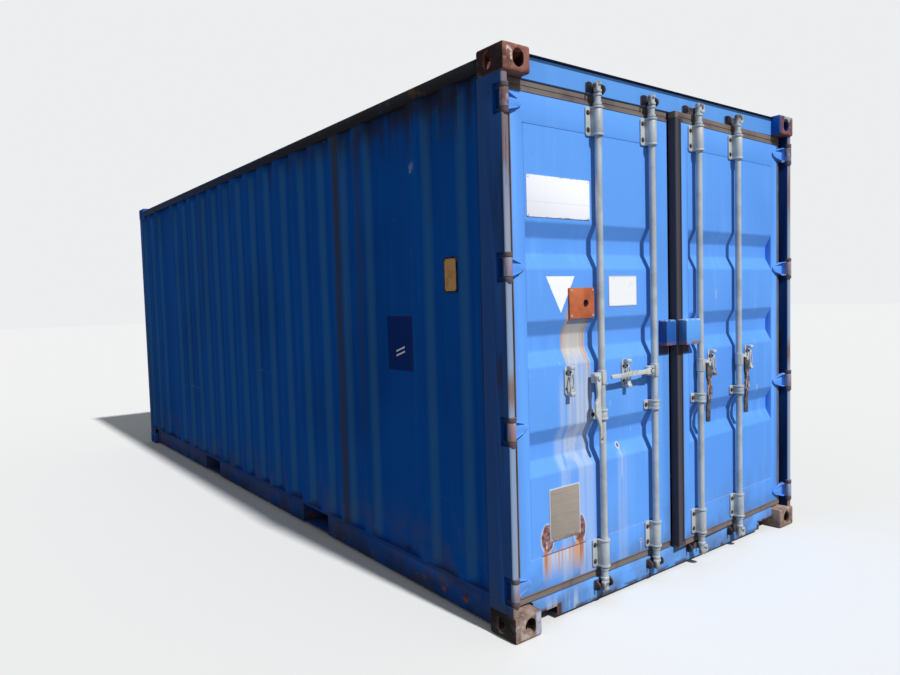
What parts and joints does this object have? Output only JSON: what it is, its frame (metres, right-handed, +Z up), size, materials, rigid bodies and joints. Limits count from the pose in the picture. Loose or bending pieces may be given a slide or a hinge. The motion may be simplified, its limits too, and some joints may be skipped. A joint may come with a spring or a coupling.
{
  "type": "shipping container",
  "caption": "Steel cargo container with corrugated walls, a plywood floor, fork-lift pockets, corner castings and hinged end doors with locking bars.",
  "frame": {"origin": "on the ground at the middle of the footprint", "axes": "+X to the right when facing the doors, +Y from the doors to the closed front end, +Z up"},
  "size_m": [2.438, 6.0956, 2.591],
  "materials": {
    "frame_paint": "weathered blue paint with rust at the edges",
    "casting_steel": "rusty cast steel with remains of blue paint",
    "wall_paint": "weathered blue paint",
    "door_paint": "weathered blue paint",
    "seal_rubber": "aged rubber, dusty",
    "plywood": "worn plywood",
    "galvanised": "dull zinc coating",
    "sign_white": "matt white",
    "data_metal": "weathered bare metal",
    "rusty_plate": "rust",
    "orange_plate": "faded orange"
  },
  "bodies": {
    "container_body": {"castings_bottom": "casting_steel", "castings_top": "casting_steel", "door_post_left": "frame_paint", "door_post_right": "frame_paint", "front_post_left": "frame_paint", "front_post_right": "frame_paint", "door_header": "frame_paint", "door_sill": "frame_paint", "front_header": "frame_paint", "front_sill": "frame_paint", "top_rail_left": "frame_paint", "top_rail_right": "frame_paint", "bottom_rail_left": "frame_paint", "bottom_rail_right": "frame_paint", "rail_webs_left": "frame_paint", "rail_webs_right": "frame_paint", "side_wall_left": "wall_paint", "side_wall_right": "wall_paint", "front_wall": "wall_paint", "roof": "wall_paint", "floor": "plywood", "cross_members": "frame_paint", "pocket_sides": "frame_paint", "pocket_tops": "frame_paint", "pocket_straps": "frame_paint", "keepers": "galvanised", "hinge_lugs_left": "galvanised", "hinge_lugs_right": "galvanised", "side_plate": "orange_plate"},
    "door_left": {"leaf_frame_left": "door_paint", "leaf_panel_left": "door_paint", "seal_left": "seal_rubber", "hinge_blades_left": "door_paint", "housings_left": "galvanised", "catches_left": "galvanised", "lock_box_left": "door_paint", "sign": "sign_white", "data_plate": "data_metal", "bolted_plate": "rusty_plate"},
    "door_right": {"leaf_frame_right": "door_paint", "leaf_panel_right": "door_paint", "seal_right": "seal_rubber", "hinge_blades_right": "door_paint", "housings_right": "galvanised", "catches_right": "galvanised", "lock_box_right": "door_paint"},
    "lock_bar_1": {"lock_bar_1": "galvanised"},
    "lock_bar_2": {"lock_bar_2": "galvanised"},
    "lock_bar_3": {"lock_bar_3": "galvanised"},
    "lock_bar_4": {"lock_bar_4": "galvanised"},
    "handle_1": {"handle_1": "galvanised"},
    "handle_2": {"handle_2": "galvanised"},
    "handle_3": {"handle_3": "galvanised"},
    "handle_4": {"handle_4": "galvanised"}
  },
  "joints": [
    {"name": "door_left_hinge", "type": "hinge", "parent": "container_body", "child": "door_left", "pos_m": [-1.195, -3.007, 0], "axis": [0, 0, -1], "range_deg": [0, 260]},
    {"name": "door_right_hinge", "type": "hinge", "parent": "container_body", "child": "door_right", "pos_m": [1.195, -3.007, 0], "axis": [0, 0, 1], "range_deg": [-2.2, 257.8]},
    {"name": "lock_bar_1_turn", "type": "hinge", "parent": "door_left", "child": "lock_bar_1", "pos_m": [-0.592, -2.997, 0], "axis": [0, 0, -1], "range_deg": [-110, 0]},
    {"name": "lock_bar_2_turn", "type": "hinge", "parent": "door_left", "child": "lock_bar_2", "pos_m": [-0.178, -2.997, 0], "axis": [0, 0, -1], "range_deg": [-110, 0]},
    {"name": "lock_bar_3_turn", "type": "hinge", "parent": "door_right", "child": "lock_bar_3", "pos_m": [0.17837, -3.03605, 0], "axis": [0, 0, 1], "range_deg": [-110, 0]},
    {"name": "lock_bar_4_turn", "type": "hinge", "parent": "door_right", "child": "lock_bar_4", "pos_m": [0.59206, -3.02015, 0], "axis": [0, 0, 1], "range_deg": [-110, 0]},
    {"name": "handle_1_lift", "type": "hinge", "parent": "lock_bar_1", "child": "handle_1", "pos_m": [-0.64, -3.023, 1.12], "axis": [0, 1, 0], "range_deg": [0, 100]},
    {"name": "handle_2_lift", "type": "hinge", "parent": "lock_bar_2", "child": "handle_2", "pos_m": [-0.226, -3.023, 1.12], "axis": [0, 1, 0], "range_deg": [-90, 10]},
    {"name": "handle_3_lift", "type": "hinge", "parent": "lock_bar_3", "child": "handle_3", "pos_m": [0.22733, -3.06019, 1.12], "axis": [0.0384, -0.9993, 0], "range_deg": [0, 100]},
    {"name": "handle_4_lift", "type": "hinge", "parent": "lock_bar_4", "child": "handle_4", "pos_m": [0.64102, -3.04429, 1.12], "axis": [0.0384, -0.9993, 0], "range_deg": [0, 100]}
  ]
}
